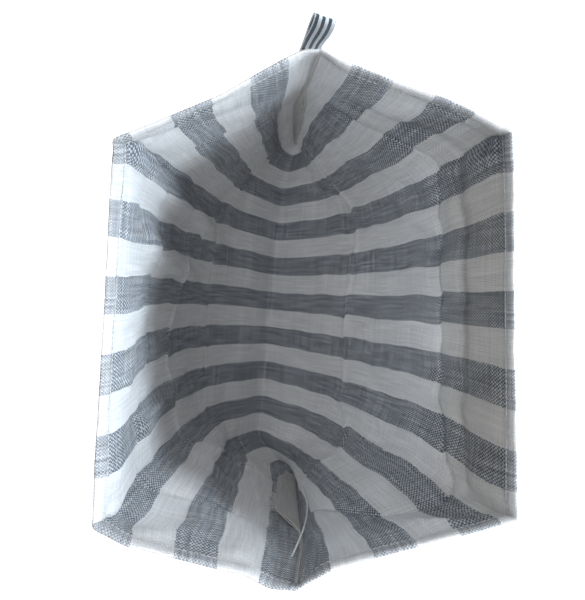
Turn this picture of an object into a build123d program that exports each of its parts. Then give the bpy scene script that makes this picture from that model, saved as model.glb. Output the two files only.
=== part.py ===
"""Striped cloth mail sack standing open on its bottom fold, in millimetres.

+Z is up through the mouth. Y runs along the bottom fold, with a side seam at each end and the
hanging loop at +Y. Left is -X and right is +X. The origin is on the floor under the middle.
"""

import os
from math import cos, pi, radians, sin, tan

from build123d import *

# The sack's cloth: its width when the empty sack lies flat, and its thickness.
flat_width = 400.0
cloth = 0.8

# The sack standing open.
mouth_height = 472.0
mouth_reach = 122.0  # from the middle of the mouth to each side seam
mouth_corner = 87.0  # from the middle of the mouth to the corners beside a seam
mouth_dip = 40.0  # how far the rim sags between its corners
mouth_bow = 10.0  # how far each wall bows out at the rim
bottom_reach = 195.0  # from the middle of the bottom fold to each side seam

# Half the width between the corners of each section, from floor to rim: (height, half width).
spread = [(0.0, 16.0), (60.0, 42.0), (130.0, 67.0), (205.0, 90.0), (300.0, 100.0), (mouth_height, 95.0)]

# The hem, turned in against the inside of the cloth.
hem_height = 8.0
hem_thickness = 1.0
hem_gap = 0.1

# The side seams, whose margins stand inside the sack as a fin.
margin_width = 10.0
margin_thickness = 1.6
margin_clearance = 2.6  # from the outside of the seam to the fin
margin_foot = 2.0

# Sewing thread.
stitch = 0.4
stitch_height = 0.6
hem_stitch_depth = 6.5  # from the rim down to the row of stitches
seam_stitch_inset = 1.0  # from the fin's outer edge to the row of stitches

# Hanging loop of ribbon: a teardrop that turns about its root, just above the rim.
ribbon_width = 9.0
ribbon_thickness = 0.6
loop_length = 29.0
loop_eye = 4.4  # radius inside the teardrop's round end
loop_lean = 6.0  # degrees outwards from upright
loop_shift = -4.5  # from the seam, along X
loop_gap = 0.3
root_rise = 1.5  # of the turning axis above the rim
sewn_length = 9.0
tack_depths = (2.5, 6.5)  # from the top of the sewn ends down to each row of tacking
tack_margin = 0.5

# Tail of sewing thread that hangs inside the far seam, from its exit down to its bare end.
thread_diameter = 1.1
thread_route = [
    (1.5, -124.0, 430.0),
    (5.6, -124.3, 412.0),
    (12.0, -123.6, 385.0),
    (17.4, -124.4, 350.0),
    (19.8, -124.8, 320.0),
    (19.0, -124.0, 292.0),
]

os.makedirs("parts", exist_ok=True)


def seam_reach(height):
    """Distance from the middle to each side seam, which leans inwards from floor to rim."""
    return bottom_reach + (mouth_reach - bottom_reach) * height / mouth_height


def half_width(height):
    """Half the width between the corners of the section at this height."""
    for (low, low_width), (high, high_width) in zip(spread, spread[1:]):
        if height <= high:
            return low_width + (high_width - low_width) * (height - low) / (high - low)
    return spread[-1][1]


def corner_reach(height):
    """Distance from the middle to the corners, so that the cloth keeps its girth below the rim."""
    if height == mouth_height:
        return mouth_corner
    spare = flat_width / 2 - seam_reach(height)
    return seam_reach(height) - (half_width(height) ** 2 - spare**2) / (2 * spare)


def section_ring(height, inset):
    """Corners of the eight-sided section at this height, with all its sides moved inwards."""
    reach, corner_y, width = seam_reach(height), corner_reach(height), half_width(height)
    bow = width + mouth_bow * height / mouth_height
    right = [(0, reach), (width, corner_y), (bow, 0), (width, -corner_y), (0, -reach)]
    left = [(-x, y) for x, y in right[3:0:-1]]
    corners = [Vector(x, y, height) for x, y in right + left]
    ring = []
    for before, corner, after in zip(corners[-1:] + corners, corners, corners[1:] + corners[:1]):
        arriving = (corner - before).normalized().cross(Vector(0, 0, 1))
        leaving = (after - corner).normalized().cross(Vector(0, 0, 1))
        ring.append(corner + (arriving + leaving) * inset / (1 + arriving.dot(leaving)))
    return ring


def sack_solid(inset):
    """The sack's space as one solid of flat facets, inset all round and raised off the floor."""
    heights = [inset] + [height for height, _ in spread[1:]]
    rings = [section_ring(height, inset) for height in heights]
    facets = [Face(Wire.make_polygon(ring)) for ring in (rings[0], rings[-1])]
    for lower, upper in zip(rings, rings[1:]):
        for side in range(len(lower)):
            beside = (side + 1) % len(lower)
            odd, even = (side, beside) if side % 2 else (beside, side)
            facets.append(Face(Wire.make_polygon([lower[odd], lower[even], upper[even]])))
            facets.append(Face(Wire.make_polygon([lower[odd], upper[even], upper[odd]])))
    return Solid(Shell(facets))


def room_below_rim(depth):
    """All the room under the rim's line, which dips between the corners, lowered by a depth."""
    rim_radius = (mouth_corner**2 + mouth_dip**2) / (2 * mouth_dip)
    beyond = 2 * flat_width
    with BuildPart() as room:
        with Locations((0, 0, mouth_height - depth)):
            Box(beyond, beyond, beyond, align=(Align.CENTER, Align.CENTER, Align.MAX))
        with Locations((0, 0, mouth_height - mouth_dip + rim_radius)):
            Cylinder(rim_radius + depth, beyond, rotation=(0, 90, 0), mode=Mode.SUBTRACT)
    return room.part


def skin(outer, inner, upper, lower):
    """A skin between two insets of the sack, from one depth under the rim down to another."""
    with BuildPart() as layer:
        add(sack_solid(outer))
        add(sack_solid(inner), mode=Mode.SUBTRACT)
        add(room_below_rim(upper), mode=Mode.INTERSECT)
        if lower:
            add(room_below_rim(lower), mode=Mode.SUBTRACT)
    return layer.part


# Cloth: one piece folded along the floor, kept as its left and right halves.
cloth_skin = skin(outer=0, inner=cloth, upper=0, lower=None)

with BuildPart() as left_panel:
    add(cloth_skin)
    split(bisect_by=Plane.YZ, keep=Keep.BOTTOM)

with BuildPart() as right_panel:
    add(cloth_skin)
    split(bisect_by=Plane.YZ, keep=Keep.TOP)

# Hem: the rim turned in twice against the inside of the cloth, with one row of stitching.
hem_outside = cloth + hem_gap
hem_inside = hem_outside + hem_thickness
hem_skin = skin(hem_outside, hem_inside, upper=0, lower=hem_height)

with BuildPart() as left_hem:
    add(hem_skin)
    split(bisect_by=Plane.YZ, keep=Keep.BOTTOM)

with BuildPart() as right_hem:
    add(hem_skin)
    split(bisect_by=Plane.YZ, keep=Keep.TOP)

with BuildPart() as hem_thread:
    add(skin(hem_inside, hem_inside + stitch, hem_stitch_depth - stitch_height, hem_stitch_depth))


def seam_strip(side, near, far):
    """Outline in the YZ plane of a strip that runs up a seam, between two distances inside it."""
    ends = (margin_foot, mouth_height - hem_height - 1)
    outer = [(side * (seam_reach(height) - near), height) for height in ends]
    inner = [(side * (seam_reach(height) - far), height) for height in reversed(ends)]
    return outer + inner


# Side seams: the raw margins of both halves laid together, and the stitching on their two faces.
margin_strip = (margin_clearance, margin_clearance + margin_width)
stitch_near = margin_clearance + seam_stitch_inset
stitch_strip = (stitch_near, stitch_near + stitch_height)

with BuildPart() as loop_side_margin:
    with BuildSketch(Plane.YZ):
        with BuildLine():
            Polyline(*seam_strip(1, *margin_strip), close=True)
        make_face()
    extrude(amount=margin_thickness / 2, both=True)

with BuildPart() as far_side_margin:
    with BuildSketch(Plane.YZ):
        with BuildLine():
            Polyline(*seam_strip(-1, *margin_strip), close=True)
        make_face()
    extrude(amount=margin_thickness / 2, both=True)

with BuildPart() as loop_side_seam_thread:
    for face in (-1, 1):
        with BuildSketch(Plane.YZ.offset(face * margin_thickness / 2)):
            with BuildLine():
                Polyline(*seam_strip(1, *stitch_strip), close=True)
            make_face()
        extrude(amount=face * stitch)

with BuildPart() as far_side_seam_thread:
    for face in (-1, 1):
        with BuildSketch(Plane.YZ.offset(face * margin_thickness / 2)):
            with BuildLine():
                Polyline(*seam_strip(-1, *stitch_strip), close=True)
            make_face()
        extrude(amount=face * stitch)


def strip_behind_rim(near, far, top, bottom):
    """Outline in the YZ plane of a strip outside the loop-side seam, leaning as the seam leans."""
    lean = (bottom_reach - mouth_reach) / mouth_height
    corners = [(near, top), (far, top), (far, bottom), (near, bottom)]
    return [(reach + lean * depth, ribbon_top - depth) for reach, depth in corners]


# The ribbon's two ends, laid together and sewn to the outside of the hem.
ribbon_top = mouth_height + loop_gap
sewn_inside = mouth_reach + hem_gap
sewn_outside = sewn_inside + 2 * ribbon_thickness

with BuildPart() as loop_sewn_ends:
    with BuildSketch(Plane.YZ.offset(loop_shift)):
        with BuildLine():
            Polyline(*strip_behind_rim(sewn_inside, sewn_outside, 0, sewn_length), close=True)
        make_face()
    extrude(amount=ribbon_width / 2, both=True)

# Rows of tacking thread across the sewn ends.
with BuildPart() as loop_tack_thread:
    for depth in tack_depths:
        with BuildSketch(Plane.YZ.offset(loop_shift)):
            with BuildLine():
                row = (sewn_outside, sewn_outside + stitch, depth, depth + stitch_height)
                Polyline(*strip_behind_rim(*row), close=True)
            make_face()
        extrude(amount=ribbon_width / 2 - tack_margin, both=True)

# Hanging loop, upright from its root, which clears the sewn ends so that the loop can hang over them.
root_reach = sewn_outside + stitch + loop_gap + ribbon_thickness
eye_height = loop_length - loop_eye - ribbon_thickness
outwards = (0, cos(radians(loop_lean)), -sin(radians(loop_lean)))
loop_root = (loop_shift, root_reach, mouth_height + root_rise)
loop_plane = Plane(origin=loop_root, x_dir=outwards, z_dir=(1, 0, 0))

with BuildPart() as hanging_loop:
    with BuildSketch(loop_plane):
        with BuildSketch(mode=Mode.PRIVATE) as outside:
            Circle(ribbon_thickness)
            with Locations((0, eye_height)):
                Circle(loop_eye + ribbon_thickness)
            make_hull()
        with BuildSketch(mode=Mode.PRIVATE) as eye:
            with Locations((0, eye_height / 3)):
                Circle(loop_gap)
            with Locations((0, eye_height)):
                Circle(loop_eye)
            make_hull()
        add(outside.sketch)
        add(eye.sketch, mode=Mode.SUBTRACT)
    extrude(amount=ribbon_width / 2, both=True)


def bend_radii(route):
    """At each bend of a route, 0.45 of its shorter run over the tangent of half its turn."""
    points, radii = [Vector(*point) for point in route], []
    for before, bend, after in zip(points, points[1:], points[2:]):
        half_turn = radians((bend - before).get_angle(after - bend)) / 2
        radii.append(0.45 * min((bend - before).length, (after - bend).length) / tan(half_turn))
    return radii


with BuildPart() as loose_thread:
    with BuildLine():
        path = FilletPolyline(*thread_route, radius=bend_radii(thread_route))
    with BuildSketch(Plane(origin=path @ 0, z_dir=path % 0)):
        Circle(thread_diameter / 2)
    sweep()

straight_volume = pi * thread_diameter**2 / 4 * path.length
print("thread length", round(path.length, 1))
print("thread bend radii", [round(radius) for radius in bend_radii(thread_route)])
print("thread volume against its section times its length", round(loose_thread.part.volume / straight_volume, 4))

left_panel.part.label = "left_panel"
right_panel.part.label = "right_panel"
left_hem.part.label = "left_hem"
right_hem.part.label = "right_hem"
hem_thread.part.label = "hem_thread"
loop_side_margin.part.label = "loop_side_margin"
far_side_margin.part.label = "far_side_margin"
loop_side_seam_thread.part.label = "loop_side_seam_thread"
far_side_seam_thread.part.label = "far_side_seam_thread"
loop_sewn_ends.part.label = "loop_sewn_ends"
loop_tack_thread.part.label = "loop_tack_thread"
hanging_loop.part.label = "hanging_loop"
loose_thread.part.label = "loose_thread"

export_step(left_panel.part, "parts/left_panel.step")
export_step(right_panel.part, "parts/right_panel.step")
export_step(left_hem.part, "parts/left_hem.step")
export_step(right_hem.part, "parts/right_hem.step")
export_step(hem_thread.part, "parts/hem_thread.step")
export_step(loop_side_margin.part, "parts/loop_side_margin.step")
export_step(far_side_margin.part, "parts/far_side_margin.step")
export_step(loop_side_seam_thread.part, "parts/loop_side_seam_thread.step")
export_step(far_side_seam_thread.part, "parts/far_side_seam_thread.step")
export_step(loop_sewn_ends.part, "parts/loop_sewn_ends.step")
export_step(loop_tack_thread.part, "parts/loop_tack_thread.step")
export_step(hanging_loop.part, "parts/hanging_loop.step")
export_step(loose_thread.part, "parts/loose_thread.step")
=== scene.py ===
"""Striped cloth mail sack, standing open on its bottom fold, seen from above.

Everything is in metres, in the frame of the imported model: +Z is up through the mouth, Y runs
along the bottom fold and the hanging loop is at +Y. On the cloth, u runs from the loop-side seam
to the far seam, and v from the right rim down to the fold and up to the left rim.
"""

import random
from math import cos, pi, radians, sin, tau

import bmesh
import bpy
import numpy as np
from mathutils import Euler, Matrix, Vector, noise


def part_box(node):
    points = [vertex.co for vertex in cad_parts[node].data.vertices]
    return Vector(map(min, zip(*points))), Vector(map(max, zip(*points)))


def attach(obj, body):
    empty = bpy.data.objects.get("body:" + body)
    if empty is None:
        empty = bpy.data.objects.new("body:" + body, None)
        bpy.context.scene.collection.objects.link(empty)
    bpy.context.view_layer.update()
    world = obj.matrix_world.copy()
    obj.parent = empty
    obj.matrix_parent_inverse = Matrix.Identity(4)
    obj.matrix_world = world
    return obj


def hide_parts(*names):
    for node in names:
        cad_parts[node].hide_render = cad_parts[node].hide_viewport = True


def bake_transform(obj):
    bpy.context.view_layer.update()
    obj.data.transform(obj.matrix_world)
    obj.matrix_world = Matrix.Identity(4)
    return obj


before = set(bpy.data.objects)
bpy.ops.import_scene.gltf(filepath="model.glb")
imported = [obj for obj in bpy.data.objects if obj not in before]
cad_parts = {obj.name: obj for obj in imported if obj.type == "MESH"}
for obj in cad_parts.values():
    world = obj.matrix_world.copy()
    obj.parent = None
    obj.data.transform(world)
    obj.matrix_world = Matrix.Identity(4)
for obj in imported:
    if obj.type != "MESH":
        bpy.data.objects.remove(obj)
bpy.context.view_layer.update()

mm = 0.001
chance = random.Random(7)

# The sack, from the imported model.
mouth_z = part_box("right_hem")[1].z
bottom_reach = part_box("right_panel")[1].y
fold_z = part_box("right_panel")[0].z
hem_height = 8 * mm

# The cloth: one piece folded along the bottom, cut with its hems and seam margins.
cloth_width, wall_height = 0.400, 0.480
cloth_thickness = 0.5 * mm
stripe_pitch = 40.6 * mm
first_stripe = 0.4 * stripe_pitch
thread_pitch = 0.95 * mm

# Painted shade: the cloth is darkened below the right rim, to this depth and over the middle of the wall. It
# is no dirt in the photograph: it makes up for light that this studio throws there and the photograph's
# doesn't.
painted_shade_depth, painted_shade_edge = 0.100, 0.030
painted_shade_reach = (0.075, 0.125)
painted_shade_tint = (0.78, 0.75, 0.715, 1)

# The rim of each wall from the loop-side seam to the far seam, in mm, sagging between its corners. Its
# bends were picked by eye in the photograph and looked up at their heights through the camera with a
# separate script; the heights of the sagging stretches are guessed.
right_rim = [
    (0, 124.5, 472), (12, 119, 472), (36, 111.5, 472), (62, 104.5, 472), (92, 92.5, 471), (99, 79, 458),
    (105, 54, 446), (110, 14, 438), (110, -37, 446), (106.5, -74, 460), (103, -90, 471), (73, -98.5, 472),
    (36, -108.5, 472), (15, -115, 472), (0, -124, 472),
]
left_rim = [
    (0, 124.5, 472), (-8, 123, 472), (-19, 116.5, 472), (-44, 100, 472), (-72, 86, 472), (-91, 77, 471),
    (-94, 65, 458), (-97.5, 44, 442), (-99, 4, 434), (-97.5, -45, 444), (-95, -75, 458), (-92, -98, 471),
    (-78, -105, 472), (-22, -118, 472), (-11, -123.5, 472), (0, -124, 472),
]

# The sharp corners of the mouth on each wall.
rim_corners = {1: [right_rim[4], right_rim[10]], -1: [left_rim[5], left_rim[11]]}

# Half the width of the sack between the seams, with a bend at each storage crease: (height, half width).
spread = [
    (0, 0.001), (0.025, 0.019), (0.060, 0.038), (0.140, 0.067), (0.230, 0.088), (0.330, 0.101),
    (0.472, 0.094),
]
mouth_reach = 0.1245
mouth_corner = 0.085
rim_influence = 0.22
twist = radians(-3.0)
fold_shift = 3 * mm

# How far each side seam sways towards +X below the rim, as (height, sway in mm), and how much cloth goes
# with it.
seam_sway = {
    1: [(0, 11), (0.05, 8), (0.15, 3), (0.30, -3), (0.40, 0), (0.472, 0)],
    -1: [(0, 44), (0.10, 37), (0.25, 24), (0.40, 11), (0.472, 0)],
}
sway_width = 0.055

# How finely the cloth is divided: along u and v for the simulation, which is halved afterwards.
columns, rows = 70, 84

# Loose tail of sewing thread, from its exit on the far seam down to its bare end.
thread_route = [
    (0.0015, -0.1240, 0.430),
    (0.0056, -0.1243, 0.412),
    (0.0120, -0.1236, 0.385),
    (0.0174, -0.1244, 0.350),
    (0.0198, -0.1248, 0.320),
    (0.0190, -0.1240, 0.292),
]
thread_diameter = 1.1 * mm


# Materials

class Nodes:
    """Short calls for building one material's nodes."""

    def __init__(self, name):
        self.material = bpy.data.materials.new(name)
        self.material.use_nodes = True
        self.tree = self.material.node_tree
        self.shader = self.tree.nodes["Principled BSDF"]

    def link(self, source, target):
        self.tree.links.new(source, target)

    def put(self, value, socket):
        """Links a socket, or sets a plain value."""
        if isinstance(value, bpy.types.NodeSocket):
            self.link(value, socket)
        else:
            socket.default_value = value

    def math(self, operation, *values):
        node = self.tree.nodes.new("ShaderNodeMath")
        node.operation = operation
        for value, socket in zip(values, node.inputs):
            self.put(value, socket)
        return node.outputs[0]

    def mix(self, factor, first, second, blend="MIX"):
        node = self.tree.nodes.new("ShaderNodeMix")
        node.data_type = "RGBA"
        node.blend_type = blend
        self.put(factor, node.inputs[0])
        self.put(first, node.inputs[6])
        self.put(second, node.inputs[7])
        return node.outputs[2]

    def remap(self, value, low, high, to_low, to_high):
        node = self.tree.nodes.new("ShaderNodeMapRange")
        for number, socket in zip((value, low, high, to_low, to_high), node.inputs):
            self.put(number, socket)
        return node.outputs[0]

    def cloth_place(self):
        """The two sockets u and v of the place on the cloth, in metres."""
        place = self.tree.nodes.new("ShaderNodeUVMap")
        split = self.tree.nodes.new("ShaderNodeSeparateXYZ")
        self.link(place.outputs[0], split.inputs[0])
        return split.outputs[0], split.outputs[1]

    def noise(self, u, v, across, along, detail=2.0):
        """Noise with this many features per metre across (u) and along (v) the cloth."""
        join = self.tree.nodes.new("ShaderNodeCombineXYZ")
        self.put(self.math("MULTIPLY", u, across), join.inputs[0])
        self.put(self.math("MULTIPLY", v, along), join.inputs[1])
        node = self.tree.nodes.new("ShaderNodeTexNoise")
        node.inputs["Scale"].default_value = 1.0
        node.inputs["Detail"].default_value = detail
        self.link(join.outputs[0], node.inputs["Vector"])
        return node.outputs["Fac"]

    def bump(self, height, distance, strength=1.0):
        node = self.tree.nodes.new("ShaderNodeBump")
        node.inputs["Distance"].default_value = distance
        node.inputs["Strength"].default_value = strength
        self.link(height, node.inputs["Height"])
        self.link(node.outputs[0], self.shader.inputs["Normal"])
        return node.outputs[0]

    def let_light_through(self, colour, normal, share):
        """Mixes in light that comes through the cloth from its other side."""
        through = self.tree.nodes.new("ShaderNodeBsdfTranslucent")
        self.put(colour, through.inputs["Color"])
        self.link(normal, through.inputs["Normal"])
        mix = self.tree.nodes.new("ShaderNodeMixShader")
        mix.inputs[0].default_value = share
        self.link(self.shader.outputs[0], mix.inputs[1])
        self.link(through.outputs[0], mix.inputs[2])
        self.link(mix.outputs[0], self.tree.nodes["Material Output"].inputs["Surface"])


def woven_cloth(name, white, grey, pitch, striped=True, stretch=2.0, soil=0.10, through=0.26,
                painted_shade=False):
    """Loose weave of thick white weft over a warp that is grey in the stripes and white between them."""
    m = Nodes(name)
    u, v = m.cloth_place()
    wander = m.math("MULTIPLY", m.math("SUBTRACT", m.noise(u, v, 90, 60), 0.5), 1.5 * pitch)
    warp_place = m.math("ADD", u, wander)
    weft_place = m.math("ADD", v, m.math("MULTIPLY", wander, 2.0))
    warp_wave = m.math("COSINE", m.math("MULTIPLY", warp_place, pi / pitch))
    weft_wave = m.math("COSINE", m.math("MULTIPLY", weft_place, pi / (stretch * pitch)))
    over = m.math("MULTIPLY", warp_wave, weft_wave)
    warp_slub = m.noise(u, v, 0.7 / pitch, 16, 2.0)
    weft_slub = m.noise(u, v, 16, 0.5 / pitch, 2.0)
    streak = m.noise(u, v, 520, 20, 3.0)
    clump = m.noise(u, v, 420, 260, 1.0)
    uneven = m.math("MULTIPLY", m.math("SUBTRACT", warp_slub, weft_slub), 1.1)
    uneven = m.math("ADD", uneven, m.math("MULTIPLY", m.math("SUBTRACT", clump, 0.5), 0.8))
    warp_on_top = m.remap(m.math("ADD", over, uneven), -0.22, 0.06, 0.0, 1.0)

    full, dull_weft, dull_warp = [[share * c for c in white] + [1] for share in (1.0, 0.76, 0.84)]
    white_weft = m.mix(m.remap(weft_slub, 0.35, 0.65, 0.0, 1.0), dull_weft, full)
    white_warp = m.mix(m.remap(warp_slub, 0.35, 0.65, 0.0, 1.0), dull_warp, full)
    warp = white_warp
    if striped:
        dark, light = [0.62 * c for c in grey] + [1], [1.6 * c for c in grey] + [1]
        grey_warp = m.mix(m.remap(m.math("ADD", warp_slub, streak), 0.80, 1.22, 0.0, 1.0), dark, light)
        ragged = m.math("MULTIPLY", m.math("SUBTRACT", m.noise(u, v, 25, 300, 3.0), 0.5), 1.6 * mm)
        from_first = m.math("SUBTRACT", m.math("ADD", warp_place, ragged), first_stripe)
        phase = m.math("DIVIDE", from_first, stripe_pitch)
        in_stripe = m.math("LESS_THAN", m.math("FRACT", m.math("ADD", phase, 4.0)), 0.5)
        warp = m.mix(in_stripe, white_warp, grey_warp)
        weft_shade = m.remap(streak, 0.35, 0.65, 0.66, 0.94)
        grey_weft = m.mix(1.0, white_weft, weft_shade, "MULTIPLY")
        white_weft = m.mix(in_stripe, white_weft, grey_weft)
    colour = m.mix(warp_on_top, white_weft, warp)
    dirt = m.noise(u, v, 14, 11, 4.0)
    # Painted shade: the weave is darkened where warp and weft change places, for the shade in the gaps
    # between threads.
    gap = m.remap(m.math("ABSOLUTE", over), 0.0, 0.3, 0.85, 1.0)
    shade = m.math("MULTIPLY", gap, m.remap(dirt, 0.3, 0.75, 1.0, 1.0 - soil))
    shade = m.math("MULTIPLY", shade, m.remap(streak, 0.3, 0.7, 0.93, 1.05))
    colour = m.mix(1.0, colour, shade, "MULTIPLY")
    # Painted shade: darkens the cloth below the right rim, over the middle of the wall.
    if painted_shade:
        uneven_edge = m.math("MULTIPLY", m.math("SUBTRACT", m.noise(u, v, 12, 12), 0.5), painted_shade_edge)
        reach = m.math("ADD", v, uneven_edge)
        below_rim = m.remap(reach, painted_shade_depth - painted_shade_edge, painted_shade_depth + painted_shade_edge, 1.0, 0.0)
        from_middle = m.math("ABSOLUTE", m.math("SUBTRACT", u, cloth_width / 2))
        along_rim = m.remap(from_middle, *painted_shade_reach, 1.0, 0.0)
        painted_shade_colour = m.mix(1.0, colour, painted_shade_tint, "MULTIPLY")
        colour = m.mix(m.math("MULTIPLY", below_rim, along_rim), colour, painted_shade_colour)
    m.link(colour, m.shader.inputs["Base Color"])
    m.put(m.remap(warp_slub, 0.2, 0.8, 0.75, 0.95), m.shader.inputs["Roughness"])
    m.shader.inputs["Sheen Weight"].default_value = 0.15
    m.shader.inputs["Specular IOR Level"].default_value = 0.2
    thickness = m.math("ADD", m.math("ABSOLUTE", over), m.math("ADD", warp_slub, weft_slub))
    normal = m.bump(thickness, 0.24 * mm)
    m.let_light_through(m.mix(1.0, colour, (1.0, 0.97, 0.93, 1), "MULTIPLY"), normal, through)
    return m.material


def twisted_thread(name, colour):
    """White sewing thread of twisted plies."""
    m = Nodes(name)
    u, v = m.cloth_place()
    slant = m.math("ADD", u, m.math("MULTIPLY", v, 1.6))
    plies = m.math("SINE", m.math("MULTIPLY", slant, tau / (0.35 * mm)))
    fuzz = m.noise(u, v, 4000, 4000, 2.0)
    shade = m.mix(m.remap(plies, -1, 1, 0.0, 1.0), [0.8 * c for c in colour] + [1], list(colour) + [1])
    fuzzy = m.mix(m.remap(fuzz, 0.3, 0.8, 0.0, 0.25), shade, (0.5, 0.47, 0.43, 1))
    m.link(fuzzy, m.shader.inputs["Base Color"])
    m.put(m.remap(fuzz, 0.2, 0.8, 0.45, 0.75), m.shader.inputs["Roughness"])
    m.bump(plies, 0.06 * mm)
    return m.material


def striped_ribbon(name):
    """Ribbed ribbon, pale blue-white with three navy stripes along it; u runs across it."""
    m = Nodes(name)
    u, v = m.cloth_place()
    across = m.math("DIVIDE", u, ribbon_width)
    wobble = m.math("MULTIPLY", m.math("SUBTRACT", m.noise(u, v, 200, 500), 0.5), 0.05)
    phase = m.math("MULTIPLY", m.math("ADD", across, wobble), ribbon_bands)
    phase = m.math("ADD", phase, first_band)
    navy = m.math("GREATER_THAN", m.math("FLOORED_MODULO", phase, 2.0), 1.0)
    ribs = m.math("SINE", m.math("MULTIPLY", v, tau / (0.55 * mm)))
    thread = m.noise(u, v, 2500, 700, 2.0)
    pale = m.mix(m.remap(thread, 0.3, 0.7, 0.0, 1.0), (0.70, 0.77, 0.84, 1), (0.88, 0.92, 0.96, 1))
    dark = m.mix(m.remap(thread, 0.3, 0.7, 0.0, 1.0), (0.020, 0.035, 0.060, 1), (0.050, 0.080, 0.115, 1))
    colour = m.mix(m.remap(ribs, -1, 1, 0.0, 0.2), m.mix(navy, pale, dark), (0.10, 0.11, 0.13, 1))
    m.link(colour, m.shader.inputs["Base Color"])
    m.put(m.remap(thread, 0.2, 0.8, 0.45, 0.7), m.shader.inputs["Roughness"])
    m.shader.inputs["Sheen Weight"].default_value = 0.3
    normal = m.bump(m.math("ADD", ribs, thread), 0.08 * mm)
    m.let_light_through(colour, normal, 0.35)
    return m.material


def pale_floor(name):
    m = Nodes(name)
    u, v = m.cloth_place()
    tone = m.remap(m.noise(u, v, 3, 3, 3.0), 0.3, 0.7, 0.0, 1.0)
    m.link(m.mix(tone, (0.93, 0.93, 0.93, 1), (0.95, 0.95, 0.95, 1)), m.shader.inputs["Base Color"])
    m.shader.inputs["Roughness"].default_value = 0.9
    return m.material


# Building meshes from grids of points

def unit(vectors):
    return vectors / np.maximum(np.linalg.norm(vectors, axis=-1, keepdims=True), 1e-9)


class Piece:
    """Gathers grids of points into one mesh, with the place on the cloth as its UV."""

    def __init__(self):
        self.points, self.faces, self.places = [], [], []

    def grid(self, points, places, around=False, flip=False):
        """Adds points (rows, columns, 3) with their places (rows, columns, 2).

        around joins the last column to the first, and flip turns the faces over.
        """
        height, width = points.shape[:2]
        start = len(self.points)
        self.points.extend(map(tuple, points.reshape(-1, 3)))
        for j in range(height - 1):
            for i in range(width - (0 if around else 1)):
                corners = [(j, i), (j, i + 1), (j + 1, i + 1), (j + 1, i)]
                if flip:
                    corners.reverse()
                self.faces.append([start + a * width + b % width for a, b in corners])
                self.places.extend(tuple(places[a, b % places.shape[1]]) for a, b in corners)

    def tube(self, path, radius, sides=6, ends=0.5, place=(0, 0)):
        """A round strand along a path, closed at both ends by drawing it in over its last points."""
        path = np.array(path, float)
        along = unit(np.gradient(path, axis=0))
        aside = unit(np.cross(along, along[0] + (0.31, 0.17, 0.93)))
        other = np.cross(along, aside)
        swell = np.full(len(path), radius)
        swell[[0, -1]] *= ends * 0.1
        swell[[1, -2]] *= 1 - ends / 2
        turns = np.linspace(0, tau, sides, endpoint=False)
        rings = (path[:, None] + swell[:, None, None] * (aside[:, None] * np.cos(turns)[:, None]
                                                         + other[:, None] * np.sin(turns)[:, None]))
        length = np.concatenate([[0], np.cumsum(np.linalg.norm(np.diff(path, axis=0), axis=1))])
        places = np.stack(np.broadcast_arrays(turns * radius + place[0], length[:, None] + place[1]), axis=-1)
        self.grid(rings, places, around=True)

    def build(self, name, material, slot, body, thickness=0, weld=False):
        mesh = bpy.data.meshes.new(name)
        mesh.from_pydata(self.points, [], self.faces)
        mesh.uv_layers.new(name="UVMap").data.foreach_set("uv", np.array(self.places, float).ravel())
        mesh.materials.append(material)
        if weld:
            joined = bmesh.new()
            joined.from_mesh(mesh)
            bmesh.ops.remove_doubles(joined, verts=joined.verts, dist=0.02 * mm)
            joined.to_mesh(mesh)
            joined.free()
        mesh.shade_smooth()
        piece = bpy.data.objects.new(name, mesh)
        bpy.context.scene.collection.objects.link(piece)
        if thickness:
            solid = piece.modifiers.new("thickness", "SOLIDIFY")
            solid.thickness = thickness
            solid.offset = 0
        if body:
            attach(piece, body)
        return piece


# Camera and the free cord

def place_camera():
    """Nearly straight down into the mouth, as in the photograph."""
    data = bpy.data.cameras.new("camera")
    data.lens = 41.4
    data.clip_start = 0.01
    camera = bpy.data.objects.new("camera", data)
    camera.location = (-0.0307, 0.0053, 0.7876)
    camera.rotation_euler = Euler((radians(0.34), radians(-4.25), radians(2.62)))
    bpy.context.scene.collection.objects.link(camera)
    bpy.context.scene.camera = camera


def hang_loose_thread(material):
    curve = bpy.data.curves.new("loose_thread_tail", "CURVE")
    curve.dimensions = "3D"
    curve.bevel_depth = thread_diameter / 2
    curve.bevel_resolution = 3
    curve.use_fill_caps = True
    spline = curve.splines.new("NURBS")
    spline.points.add(len(thread_route) - 1)
    for point, place in zip(spline.points, thread_route):
        point.co = (*place, 1)
    spline.order_u = 3
    spline.use_endpoint_u = True
    spline.resolution_u = 12
    curve.materials.append(material)
    tail = bpy.data.objects.new("loose_thread_tail", curve)
    bpy.context.scene.collection.objects.link(tail)
    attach(tail, "sack")
    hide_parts("loose_thread")


# The shape of the cloth

def lengths_along(line):
    return np.concatenate([[0], np.cumsum(np.linalg.norm(np.diff(line, axis=0), axis=1))])


def spaced(line, count):
    """The line with its points spaced evenly."""
    along = lengths_along(line)
    stops = np.linspace(0, along[-1], count)
    return np.stack([np.interp(stops, along, line[:, k]) for k in range(3)], axis=1)


def rounded(line, rounds):
    """The line with its corners rounded, its ends kept."""
    line = line.copy()
    for _ in range(rounds):
        line[1:-1] = line[1:-1] / 2 + (line[:-2] + line[2:]) / 4
    return line


def girth(height, count):
    """The right half of the sack's level section at this height, from the loop-side seam to the far seam."""
    reach = np.interp(height, [0, mouth_z], [bottom_reach, mouth_reach])
    width = np.interp(height, [a for a, _ in spread], [b for _, b in spread])
    spare = cloth_width / 2 - reach
    corner = reach - (width**2 - spare**2) / (2 * spare)
    corner = min(np.interp(height, [0.44, mouth_z], [corner, mouth_corner]), reach - 2 * mm)
    bow = width + 8 * mm * height / mouth_z
    outline = np.array([(0, reach, height), (width, corner, height), (bow, 0, height),
                        (width, -corner, height), (0, -reach, height)])
    return spaced(rounded(spaced(outline, 4 * count), 300), count)


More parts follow.
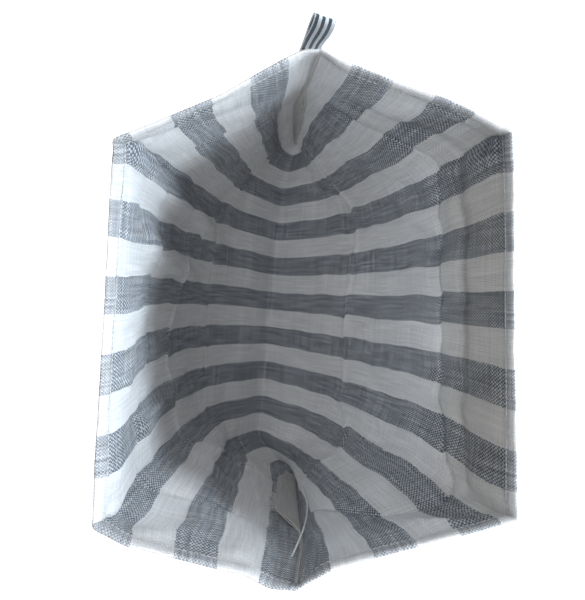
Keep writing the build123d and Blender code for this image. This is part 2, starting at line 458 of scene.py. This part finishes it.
def wall_points(side, rim):
    """Grid of points of one wall, from its rim (first row) down to the fold."""
    rim_line = spaced(rounded(spaced(np.array(rim) * mm, 400), 3), columns + 1)
    for corner in rim_corners[side]:
        corner = np.array(corner) * mm
        rim_line[np.linalg.norm(rim_line - corner, axis=1).argmin()] = corner
    heights = np.linspace(0, mouth_z, 120)
    sections = np.stack([girth(height, columns + 1) for height in heights])
    sections[..., 0] *= side
    wall = np.zeros((rows + 1, columns + 1, 3))
    for i in range(columns + 1):
        down = np.linspace(rim_line[i, 2], 0, 200)
        column = np.stack([np.interp(down, heights, sections[:, i, k]) for k in range(3)], axis=1)
        share = np.clip(1 - (rim_line[i, 2] - down) / rim_influence, 0, 1) ** 2
        wall[:, i] = spaced(column + share[:, None] * (rim_line[i] - column[0]), rows + 1)
    turn = twist * (1 - wall[..., 2] / mouth_z)
    x, y = wall[..., 0].copy(), wall[..., 1].copy()
    wall[..., 0] = x * np.cos(turn) - y * np.sin(turn) + fold_shift * (1 - wall[..., 2] / mouth_z)
    wall[..., 1] = x * np.sin(turn) + y * np.cos(turn)
    u = np.linspace(0, cloth_width, columns + 1)
    for end, from_seam in ((1, u), (-1, cloth_width - u)):
        heights, sway = np.array(seam_sway[end]).T
        shift = np.interp(wall[..., 2], heights, sway * mm) * np.clip(1 - from_seam / sway_width, 0, 1) ** 1.2
        wall[..., 0] += shift
        wall[..., 1] -= end * shift**2 / (2 * sway_width)
    return wall


def settle(walls):
    """Lets the cloth settle under its own weight and takes up its slack, held at the rim, seams and fold."""
    index = np.arange(2 * (rows + 1) * (columns + 1)).reshape(2, rows + 1, columns + 1)
    index[1, :, [0, columns]] = index[0, :, [0, columns]]
    index[1, rows] = index[0, rows]
    quads = []
    for side in (0, 1):
        here = index[side]
        ring = np.stack([here[:-1, :-1], here[:-1, 1:], here[1:, 1:], here[1:, :-1]], axis=-1).reshape(-1, 4)
        quads.extend((ring if side == 0 else ring[:, ::-1]).tolist())
    mesh = bpy.data.meshes.new("settling")
    mesh.from_pydata(walls.reshape(-1, 3).tolist(), [], quads)
    cloth = bpy.data.objects.new("settling", mesh)
    bpy.context.scene.collection.objects.link(cloth)
    cloth.shape_key_add(name="standing")
    flat = cloth.shape_key_add(name="flat")
    u, v = np.meshgrid(np.linspace(0, cloth_width, columns + 1), np.linspace(0, wall_height, rows + 1))
    lying = np.stack([np.stack([u, v, np.full_like(u, lift)], axis=-1) for lift in (0.5 * mm, -0.5 * mm)])
    flat.data.foreach_set("co", lying.ravel())
    hold = np.full((rows + 1, columns + 1), 0.03)
    hold[-10:] = 0.25
    hold[:, :4] = hold[:, -4:] = 0.12
    hold[:3] = 1.0
    group = cloth.vertex_groups.new(name="hold")
    for side in (0, 1):
        for place, weight in zip(index[side].ravel().tolist(), hold.ravel().tolist()):
            group.add([place], weight, "REPLACE")
    modifier = cloth.modifiers.new("cloth", "CLOTH")
    settings = modifier.settings
    settings.quality = 8
    settings.mass = 0.05
    settings.air_damping = 2
    settings.tension_stiffness, settings.compression_stiffness, settings.shear_stiffness = 40, 25, 10
    settings.tension_damping, settings.compression_damping, settings.shear_damping = 10, 10, 10
    settings.bending_model = "ANGULAR"
    settings.bending_stiffness, settings.bending_damping = 0.4, 0.5
    settings.vertex_group_mass = "hold"
    settings.pin_stiffness = 1.0
    settings.rest_shape_key = flat
    modifier.collision_settings.use_collision = False
    modifier.collision_settings.use_self_collision = False
    for step in range(1, 36):
        bpy.context.scene.frame_set(step)
    settled = cloth.evaluated_get(bpy.context.evaluated_depsgraph_get()).data
    found = np.empty(2 * (rows + 1) * (columns + 1) * 3)
    settled.vertices.foreach_get("co", found)
    found = found.reshape(walls.shape)
    found[1, :, [0, columns]] = found[0, :, [0, columns]]
    found[1, rows] = found[0, rows]
    bpy.data.objects.remove(cloth)
    bpy.data.meshes.remove(mesh)
    bpy.context.scene.frame_set(1)
    return found


def halved(grid, axis):
    """The grid with a point added between each two along this axis, on a smooth curve through them."""
    lines = np.moveaxis(grid, axis, 0)
    longer = np.concatenate([2 * lines[:1] - lines[1:2], lines, 2 * lines[-1:] - lines[-2:-1]])
    between = (9 * (longer[1:-2] + longer[2:-1]) - longer[:-3] - longer[3:]) / 16
    finer = np.empty((2 * len(lines) - 1,) + lines.shape[1:])
    finer[::2], finer[1::2] = lines, between
    return np.moveaxis(finer, 0, axis)


class Wall:
    """One wall of the sack as a fine grid: points, normals into the sack, and their places on the cloth."""

    def __init__(self, side, points):
        self.side = side
        self.points = points
        self.refresh()
        height, width = points.shape[:2]
        u, v = np.meshgrid(np.linspace(0, cloth_width, width), np.linspace(0, wall_height, height))
        self.places = np.stack([u, v if side > 0 else 2 * wall_height - v], axis=-1)

    def refresh(self):
        along_v, along_u = np.gradient(self.points, axis=(0, 1))
        self.normals = unit(np.cross(along_v, along_u) * self.side)
        if (self.normals[..., 0] * self.side).mean() > 0:
            self.normals *= -1

    def at(self, u, v, lift=0.0):
        """Points at u and at v below the rim, lifted off the cloth into the sack. All three may be arrays."""
        u, v, lift = np.broadcast_arrays(np.asarray(u, float), v, lift)
        height, width = self.points.shape[:2]
        i = u / cloth_width * (width - 1)
        j = v / wall_height * (height - 1)
        i0 = np.clip(np.floor(i).astype(int), 0, width - 2)
        j0 = np.clip(np.floor(j).astype(int), 0, height - 2)
        a, b = (i - i0)[..., None], (j - j0)[..., None]

        def blend(grid):
            upper = grid[j0, i0] * (1 - a) + grid[j0, i0 + 1] * a
            lower = grid[j0 + 1, i0] * (1 - a) + grid[j0 + 1, i0 + 1] * a
            return upper * (1 - b) + lower * b

        return blend(self.points) + lift[..., None] * unit(blend(self.normals))


def distance_to(u, v, line):
    """Distance of each place on the cloth from a line through a few (u, v) points."""
    place, nearest = np.stack([u, v], axis=-1), np.full(u.shape, 1.0)
    for start, end in zip(line, line[1:]):
        start, span = np.array(start) * mm, (np.array(end) - np.array(start)) * mm
        share = np.clip(((place - start) @ span) / (span @ span), 0, 1)
        nearest = np.minimum(nearest, np.linalg.norm(place - start - share[..., None] * span, axis=-1))
    return nearest


def swell(v, onset, fade):
    """Grows from nothing at the rim within onset, then dies away over fade."""
    return (1 - np.exp(-v / onset)) * np.exp(-v / fade)


def crumple(wall):
    """Moves the cloth in and out: the flare under the hem, soft waves, storage creases and small folds."""
    u, v = wall.places[..., 0], wall.places[..., 1]
    if wall.side < 0:
        v = 2 * wall_height - v
    waves, slides = np.zeros_like(u), np.zeros_like(u)
    for j, i in np.ndindex(u.shape):
        here = Vector((u[j, i] * 14, v[j, i] * 11, 3.7 * wall.side))
        waves[j, i] = noise.fractal(here, 0.9, 2.1, 3)
        slides[j, i] = noise.noise(Vector((u[j, i] * 9, v[j, i] * 26, 8.1 * wall.side)))
    from_seam, from_fold = np.minimum(u, cloth_width - u), wall_height - v
    inside = np.minimum(1, from_seam / edge_ease) * np.minimum(1, from_fold / edge_ease)
    inside *= np.clip((v - hem_height / 2) / 0.05, 0, 1)
    push = wave_depth * waves * inside
    slide = slide_reach * slides * inside
    flare = flare_middle + flare_beside_seams * np.clip(1.9 - from_seam / 0.08, 0, 1)
    push += flare * swell(v, *flare_swell) * np.minimum(1, from_seam / 0.014)
    push *= np.minimum(1, from_fold / 0.06)
    lip = lip_reach[wall.side] * np.clip((from_seam - lip_ease) / lip_ease, 0, 1)
    push += lip * swell(v, *lip_swell) * np.minimum(1, from_fold / 0.1)
    for line, depth, shift in storage_creases[wall.side]:
        across_line, down_line = np.array(line).T * mm
        away = v - np.interp(u, across_line, down_line)
        middle = down_line[0]
        ridge = np.exp(-np.abs(away) / (3.5 * mm)) - 0.55 * np.exp(-np.abs(away + 8 * mm) / (6 * mm))
        push += depth * (0.6 * ridge + np.exp(-np.abs(away) / (26 * mm))) * inside
        uneven = 0.3 + 1.1 * np.sin(u * 61 + middle * 90)
        slide += shift * uneven * np.tanh(away / (2.5 * mm)) * np.exp(-np.abs(away) / (16 * mm)) * inside
    for line, depth, width in small_folds[wall.side]:
        near_line = np.exp(-((distance_to(u, v, line) / (width * mm)) ** 2))
        push += depth * mm * near_line * np.minimum(1, inside * 3)
    across = unit(np.gradient(wall.points, axis=1))
    wall.points += push[..., None] * wall.normals + slide[..., None] * across
    wall.refresh()


# How deep the soft waves are and how far the stripes slide, and how near the seams and fold they begin.
wave_depth, slide_reach = 1.8 * mm, 1.6 * mm
edge_ease = 0.03

# The flare just under the hem: over the middle of a wall, and what is added towards the seams.
flare_middle, flare_beside_seams = 0.4 * mm, 3.6 * mm
flare_swell = (0.007, 0.09)

# How far the cloth steps into the sack below the straight rims, so that the mouth opens as a lip.
lip_reach = {1: 2 * mm, -1: 9 * mm}
lip_swell = (0.014, 0.12)
lip_ease = 0.06

# Storage creases: (line through places (u, v below the rim) in mm, depth into the sack, how far the
# stripes jog). Most places were picked by eye in the photograph and looked up on the model through the
# camera with a separate script; the ends of the lines are guessed.
storage_creases = {
    1: [
        ([(0, 105), (91, 109), (131, 119), (183, 117), (251, 115), (280, 95), (306, 68), (340, 74),
          (383, 160)], -3.4 * mm, 1.8 * mm),
        ([(0, 300), (60, 322), (120, 304), (180, 326), (231, 320), (277, 311), (329, 240), (400, 250)],
         2.0 * mm, 2.0 * mm),
    ],
    -1: [
        ([(0, 112), (100, 117), (151, 140), (183, 124), (231, 132), (270, 80), (297, 86), (351, 109),
          (400, 112)], -2.4 * mm, 1.2 * mm),
        ([(0, 420), (69, 406), (103, 351), (149, 249), (206, 209), (226, 185), (314, 220), (351, 286),
          (400, 300)], 1.8 * mm, 2.2 * mm),
        ([(0, 335), (150, 344), (400, 338)], -1.5 * mm, 1.5 * mm),
    ],
}

# Small folds: (line through places (u, v below the rim) in mm, depth into the sack in mm, half width in
# mm). Some were found in the same way and some are guessed.
small_folds = {
    1: [
        ([(97, 200), (114, 177), (137, 123)], 1.6, 5),
        ([(214, 289), (197, 217), (214, 131)], 1.8, 6),
        ([(30, 70), (120, 74), (183, 74), (257, 77), (290, 60)], -2.6, 11),
        ([(60, 250), (82, 190), (110, 150)], -1.4, 6),
        ([(262, 250), (290, 190), (300, 130)], 1.4, 6),
    ],
    -1: [
        ([(372, 22), (376, 52)], 2.6, 7),
        ([(352, 30), (346, 70)], 1.5, 6),
        ([(40, 60), (90, 52), (150, 62)], -1.5, 8),
        ([(240, 40), (262, 85), (300, 120)], 1.5, 7),
        ([(12, 150), (14, 420)], -4.5, 8),
    ],
}


def sew_cloth(walls, material):
    piece = Piece()
    for wall in walls:
        piece.grid(wall.points, wall.places, flip=wall.side < 0)
    cloth = piece.build("sack_cloth", material, "striped_cloth", "sack", cloth_thickness, weld=True)
    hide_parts("left_panel", "right_panel")
    return cloth


# Hem and stitching

def hem_section():
    """The turned hem's section in mm, as (depth below the rim, lift off the cloth), from its outside."""
    return [(0.6, -0.2), (-0.1, -0.45), (-0.6, -0.25), (-0.8, 0.35), (-0.5, 0.95), (0.6, 1.30), (2.4, 1.30),
            (4.6, 1.25), (5.9, 1.05), (6.5, 0.72), (7.1, 1.0), (7.8, 1.0), (8.2, 0.7), (8.1, 0.2), (3.0, 0.1)]


def make_hem(wall, material):
    past_seam = 1.0 * mm
    u = np.linspace(-past_seam, cloth_width + past_seam, 460)
    section = np.array(hem_section()) * mm
    rough = np.array([noise.noise(Vector((x * 160, wall.side * 9.1, 0.3))) for x in u])
    slow = np.array([noise.noise(Vector((x * 35, wall.side * 5.3, 1.9))) for x in u])
    pucker = 0.5 + 0.5 * np.cos(tau * u / stitch_pitch)
    depth = section[None, :, 0] * (1 + 0.10 * slow[:, None]) + 0.25 * mm * rough[:, None]
    lift = section[None, :, 1] * (1 + 0.30 * rough[:, None])
    at_stitches = np.exp(-(((section[:, 0] - hem_stitch_depth) / (1.6 * mm)) ** 2))
    lift = lift - 0.22 * mm * pucker[:, None] * at_stitches
    points = wall.at(u[:, None], depth, lift)
    round_section = np.concatenate([[0], np.cumsum(np.hypot(*np.diff(section, axis=0).T))])
    places = np.stack(np.broadcast_arrays(u[:, None], round_section[None, :]), axis=-1)
    piece = Piece()
    piece.grid(points, places, around=True, flip=wall.side < 0)
    side = "right" if wall.side > 0 else "left"
    hem = piece.build(f"hem_{side}", material, "hem_cloth", "sack")
    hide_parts(f"{side}_hem")


stitch_pitch = 2.8 * mm
stitch_half = 0.42
hem_stitch_depth = 6.5 * mm
seam_stitch_depth = 1.3 * mm


def make_hem_stitches(walls, material):
    """One row of lockstitch round the hem, seen on its inside and on the outside of the cloth."""
    piece = Piece()
    for wall in walls:
        for k in range(int(cloth_width / stitch_pitch)):
            middle = (k + 0.5) * stitch_pitch
            tilt, slide = chance.uniform(-0.15, 0.15) * mm, chance.uniform(-0.1, 0.1) * mm
            for lift, sign in ((0.80 * mm, 1), (-0.42 * mm, -1)):
                along = np.linspace(-stitch_half, stitch_half, 7)
                rise = lift + sign * 0.22 * mm * np.cos(along / stitch_half * pi / 2)
                depth = hem_stitch_depth + slide + tilt * along * 2
                path = wall.at(middle + along * stitch_pitch, depth, rise)
                piece.tube(path, 0.24 * mm, ends=0.7, place=(k * 0.01, 0))
    stitches = piece.build("hem_stitches", material, "white_thread", "sack")
    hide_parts("hem_thread")


# Side seams

def seam_line(walls, end):
    """A side seam from rim to fold, and the direction into the sack at each of its points."""
    column = 0 if end > 0 else -1
    beside = 3 if end > 0 else -4
    line = walls[0].points[:, column]
    inwards = unit(sum(wall.points[:, beside] - line for wall in walls))
    return line, inwards


def by_depth(table):
    """A value that changes with the depth below the rim, from a few (depth in mm, value) points."""
    depths, values = np.array(table).T
    return lambda v: np.interp(v, depths * mm, values)


def make_margin(walls, end, name, material, width, lean, gape, fray):
    """The two raw margins inside a side seam, bent over by lean and apart by gape, their cut edges frayed."""
    line, inwards = seam_line(walls, end)
    sideways = unit(np.array([1.0, 0, 0]) - inwards[:, :1] * inwards)
    first, last = 1 + round((hem_height - 1 * mm) / wall_height * (len(line) - 1)), len(line) - 3
    piece, fringe = Piece(), Piece()
    beside = 5 if end > 0 else -6
    right_angle, left_angle = [
        np.arctan2(((wall.points[:, beside] - line) * sideways).sum(axis=1),
                   ((wall.points[:, beside] - line) * inwards).sum(axis=1)) for wall in walls]
    v = np.linspace(0, wall_height, len(line))
    across = np.linspace(0, 1, 12)
    for wall in walls:
        side = wall.side
        roam = np.array([[noise.fractal(Vector((x * scale, side * 1.3, end * seed)), 0.9, 2.0, 3) for x in v]
                         for scale, seed in ((45, 3.1), (16, 2.2), (60, 5.7))])
        wide = width(v) * mm * (1 + 0.10 * roam[0] + 0.05 * side)
        bend = lean(v) + side * gape(v) + 0.12 * roam[1]
        bend = np.clip(bend, left_angle + clear_of_wall, right_angle - clear_of_wall)
        reach = across[None, :] * wide[:, None]
        angle = bend[:, None] * (1 - np.exp(-reach / (2.2 * mm)))
        angle = angle + 0.12 * roam[2][:, None] * across[None, :] ** 2
        step = np.diff(reach, axis=1, prepend=0)[..., None]
        heading = np.cos(angle)[..., None] * inwards[:, None] + np.sin(angle)[..., None] * sideways[:, None]
        lead = np.minimum(1, wide / (3 * mm))[:, None]
        root_line = line + (inwards * margin_start + sideways * side * 0.35 * mm) * lead
        points = root_line[:, None] + np.cumsum(step * heading, axis=1)
        points = points[first:last]
        places = np.stack(np.broadcast_arrays(-reach, v[:, None]), axis=-1)[first:last]
        piece.grid(points, places, flip=side < 0)
        for j in range(len(points) - 1):
            for _ in range(2):
                root = points[j, -1] + chance.random() * (points[j + 1, -1] - points[j, -1])
                out = unit(points[j, -1] - points[j, -2])
                stray = np.array([chance.uniform(-1, 1) for _ in range(3)])
                steps = np.linspace(0, 1, 6)[:, None]
                length = chance.uniform(0.3, 1.0) * float(fray(v[first + j])) * mm
                path = root - out * 0.6 * mm + (out * steps + stray * 0.6 * steps**2) * length
                fringe.tube(path, 0.10 * mm, sides=4, ends=0.6)
    margin = piece.build(name, material, "seam_cloth", "sack", cloth_thickness)
    frays = fringe.build(name + "_frays", material, "seam_cloth", "sack")
    return margin, frays


# Where a margin starts inside its seam, and the least angle in radians between it and a wall.
margin_start = 1.2 * mm
clear_of_wall = 0.12


def make_seam_stitches(walls, end, name, material):
    """Lockstitch on both faces of a seam's margins."""
    line, inwards = seam_line(walls, end)
    along = lengths_along(line)
    piece = Piece()
    for side in (1, -1):
        for k in range(4, int(along[-1] / stitch_pitch) - 2):
            spots = (k + 0.5 + np.linspace(-stitch_half, stitch_half, 6)) * stitch_pitch
            path = np.stack([np.interp(spots, along, line[:, a] + inwards[:, a] * seam_stitch_depth)
                             for a in range(3)], axis=1)
            path[:, 0] += side * (0.65 * mm + 0.2 * mm * np.cos(np.linspace(-pi / 2, pi / 2, 6)))
            piece.tube(path, 0.22 * mm, ends=0.7)
    return piece.build(name, material, "white_thread", "sack")


# Hanging loop

ribbon_width = 9.0 * mm
ribbon_thickness = 0.55 * mm

# How many navy and pale bands lie across the ribbon, and where in the first one its edge is.
ribbon_bands, first_band = 6.6, 0.55

# How far the ribbon drifts along +X at its first end, top and second end, and its slant along Y at the top.
ribbon_drift = (0, 3.4 * mm, 0.4 * mm)
ribbon_turn = -0.28

# The ribbon's root, just outside the hem.
loop_low, loop_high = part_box("hanging_loop")
root_y = (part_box("loop_sewn_ends")[0].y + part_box("loop_sewn_ends")[1].y) / 2 + 0.9 * mm
root_z = mouth_z + 0.3 * mm
root_x = (loop_low.x + loop_high.x) / 2


def ribbon_strip(path, shift, turn, name, material, body):
    """A ribbon along a path in the YZ plane, wide along X, that drifts sideways and slants on its way."""
    path = np.array(path, float)
    across = np.linspace(-0.5, 0.5, 15)
    along = lengths_along(path)
    drift = np.interp(along, [0, along[-1] / 2, along[-1]], shift)
    points = path[:, None] + 0 * across[None, :, None]
    points[..., 0] = root_x + drift[:, None] + across[None, :] * ribbon_width
    points[..., 1] += turn * across[None, :] * ribbon_width * np.sin(np.pi * along / along[-1])[:, None]
    cup = (across**2 - 0.08) * 1.2 * mm
    points[..., 1] += cup[None, :]
    places = np.stack(np.broadcast_arrays((across[None, :] + 0.5) * ribbon_width, along[:, None]), axis=-1)
    piece = Piece()
    piece.grid(points, places)
    return piece.build(name, material, "striped_ribbon", body, ribbon_thickness)


def smooth_path(points, count=80):
    """A smooth line near a few (y, z) points, in the plane x = 0."""
    line = np.array([(0, y, z) for y, z in points], float)
    return spaced(rounded(spaced(line, 240), 260), count)


def make_loop(material, thread):
    top_y, top_z = loop_high.y, loop_high.z
    outer_y = top_y - 3.5 * mm
    inner_y = outer_y - 4.2 * mm
    path = smooth_path([
        (root_y - 0.3 * mm, root_z),
        (root_y + 0.4 * mm, root_z + 6 * mm),
        (inner_y - 0.4 * mm, root_z + 19 * mm),
        (inner_y, top_z - 3 * mm),
        ((inner_y + outer_y) / 2, top_z + 0.5 * mm),
        (outer_y, top_z - 3 * mm),
        (outer_y - 0.5 * mm, root_z + 17 * mm),
        (root_y + 1.9 * mm, root_z + 6 * mm),
        (root_y + 0.9 * mm, root_z),
    ])
    loop = ribbon_strip(path, ribbon_drift, ribbon_turn, "hanging_ribbon", material, None)
    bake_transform(loop)
    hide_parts("hanging_loop")

    lean = (bottom_reach - mouth_reach) / mouth_z
    low_z = root_z - 9 * mm
    for layer, gap in ((0, -0.7 * mm), (1, -0.1 * mm)):
        y = root_y + gap
        path = smooth_path([(y, root_z), (y + (root_z - low_z) * lean, low_z)], 24)
        ends = ribbon_strip(path, (0, 0, 0), 0, f"ribbon_sewn_end_{layer}", material, "sack")
        if layer:
            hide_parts("loop_sewn_ends")
    tack = Piece()
    for depth in (2.5 * mm, 6.5 * mm):
        for k in range(4):
            x = root_x + (k - 1.5) * 2.0 * mm
            y = root_y + 0.5 * mm + depth * lean
            steps = np.linspace(-0.9, 0.9, 7)
            path = [(x + s * mm, y + 0.2 * mm * cos(s * 1.7), root_z - depth) for s in steps]
            tack.tube(path, 0.22 * mm, ends=0.7)
    tacks = tack.build("ribbon_tack_stitches", thread, "white_thread", "sack")
    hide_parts("loop_tack_thread")


# Light and floor

def area_light(name, place, aim, size, power, colour):
    data = bpy.data.lights.new(name, "AREA")
    data.shape = "RECTANGLE"
    data.size, data.size_y = size
    data.energy = power
    data.color = colour
    light = bpy.data.objects.new(name, data)
    light.location = place
    light.rotation_euler = (Vector(aim) - Vector(place)).to_track_quat("-Z", "Y").to_euler()
    bpy.context.scene.collection.objects.link(light)
    return light


def light_only(light, piece, state):
    """Makes a light reach only this piece (INCLUDE), or everything but it (EXCLUDE)."""
    reached = bpy.data.collections.new(light.name + "_reach")
    reached.objects.link(piece)
    reached.collection_objects[0].light_linking.link_state = state
    light.light_linking.receiver_collection = reached


# The room's light goes from one strength to the other as the X of the direction goes over this range.
room_turn, room_strength = (-0.6, 0.3), (0.09, 0.41)


def set_light(floor):
    """Cool daylight from +X, a soft light above, a room dimmer towards -X, and a wash for the floor."""
    world = bpy.data.worlds.new("studio")
    world.use_nodes = True
    nodes, links = world.node_tree.nodes, world.node_tree.links
    background = nodes["Background"]
    background.inputs["Color"].default_value = (1.0, 0.99, 0.98, 1)
    direction = nodes.new("ShaderNodeTexCoord")
    split = nodes.new("ShaderNodeSeparateXYZ")
    dim = nodes.new("ShaderNodeMapRange")
    links.new(direction.outputs["Generated"], split.inputs[0])
    links.new(split.outputs[0], dim.inputs[0])
    for socket, value in zip(list(dim.inputs)[1:5], (*room_turn, *room_strength)):
        socket.default_value = value
    links.new(dim.outputs[0], background.inputs["Strength"])
    bpy.context.scene.world = world
    bpy.context.scene.view_settings.view_transform = "Standard"
    rise, turn, distance = radians(32), radians(-1), 1.8
    aim = Vector((0, 0, 0.40))
    way = Vector((cos(rise) * cos(turn), cos(rise) * sin(turn), sin(rise)))
    key = area_light("daylight", aim + distance * way, aim, (2.6, 0.36), 78, (0.80, 0.91, 1.0))
    light_only(key, floor, "EXCLUDE")
    area_light("soft_above", (-0.20, 0.0, 1.7), (0, 0, 0.2), (1.7, 0.4), 19, (0.98, 0.99, 1.0))
    wash = area_light("floor_wash", (-0.03, 0, 2.5), (0, 0, 0), (0.5, 0.5), 60, (1, 1, 1))
    light_only(wash, floor, "INCLUDE")


def lay_floor(material):
    half = 3.0
    piece = Piece()
    steps = np.linspace(-half, half, 25)
    x, y = np.meshgrid(steps, steps)
    piece.grid(np.stack([x, y, np.full_like(x, fold_z - 0.6 * mm)], axis=-1), np.stack([x, y], axis=-1))
    floor = piece.build("floor", material, None, None)
    return floor


place_camera()
thread_material = twisted_thread("white_thread", (0.96, 0.96, 0.94))
hang_loose_thread(thread_material)

# The striped cloth carries the painted shade below the right rim.
striped = woven_cloth("striped_cloth", (0.92, 0.93, 0.95), (0.135, 0.165, 0.210), thread_pitch, painted_shade=True)
hem_cloth = woven_cloth("hem_cloth", (0.95, 0.95, 0.96), (0.32, 0.345, 0.39), 0.85 * thread_pitch,
                        stretch=1.25)
seam_cloth = woven_cloth("seam_cloth", (0.99, 0.985, 0.975), (0.2, 0.2, 0.2), thread_pitch, striped=False,
                         soil=0.03, through=0.45)

grids = np.stack([wall_points(1, right_rim), wall_points(-1, left_rim)])
grids[1, :, [0, columns]] = grids[0, :, [0, columns]]
grids[1, rows] = grids[0, rows]
grids[..., 2] += fold_z + cloth_thickness
grids = settle(grids)
walls = [Wall(side, halved(halved(grid, 0), 1)) for side, grid in zip((1, -1), grids)]
for wall in walls:
    crumple(wall)
cloth = sew_cloth(walls, striped)
for wall in walls:
    make_hem(wall, hem_cloth)
make_hem_stitches(walls, thread_material)

loop_side = make_margin(
    walls, 1, "loop_side_seam_margin", seam_cloth,
    width=by_depth([(0, 1.0), (95, 1.2), (150, 8), (250, 10), (350, 9), (440, 5), (480, 2)]),
    lean=by_depth([(0, 0.0), (80, 0.1), (150, 0.7), (250, 0.9), (480, 0.9)]),
    gape=by_depth([(0, 0.05), (480, 0.05)]),
    fray=by_depth([(0, 0.6), (480, 1.2)]),
)
far_side = make_margin(
    walls, -1, "far_side_seam_margin", seam_cloth,
    width=by_depth([(0, 1.0), (125, 1.2), (140, 11), (160, 18), (210, 20), (330, 18), (400, 10), (440, 4),
                    (480, 1.5)]),
    lean=by_depth([(0, 0.0), (110, -0.1), (150, -0.55), (215, -0.6), (270, -0.35), (330, -0.15), (480, 0.0)]),
    gape=by_depth([(0, 0.05), (120, 0.10), (480, 0.05)]),
    fray=by_depth([(0, 0.6), (140, 1.0), (155, 8), (215, 9), (240, 2), (480, 0.8)]),
)
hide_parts("loop_side_margin")
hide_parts("far_side_margin")
loop_side_stitches = make_seam_stitches(walls, 1, "loop_side_seam_stitches", thread_material)
far_side_stitches = make_seam_stitches(walls, -1, "far_side_seam_stitches", thread_material)
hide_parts("loop_side_seam_thread")
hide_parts("far_side_seam_thread")
make_loop(striped_ribbon("striped_ribbon"), thread_material)
set_light(lay_floor(pale_floor("pale_floor")))
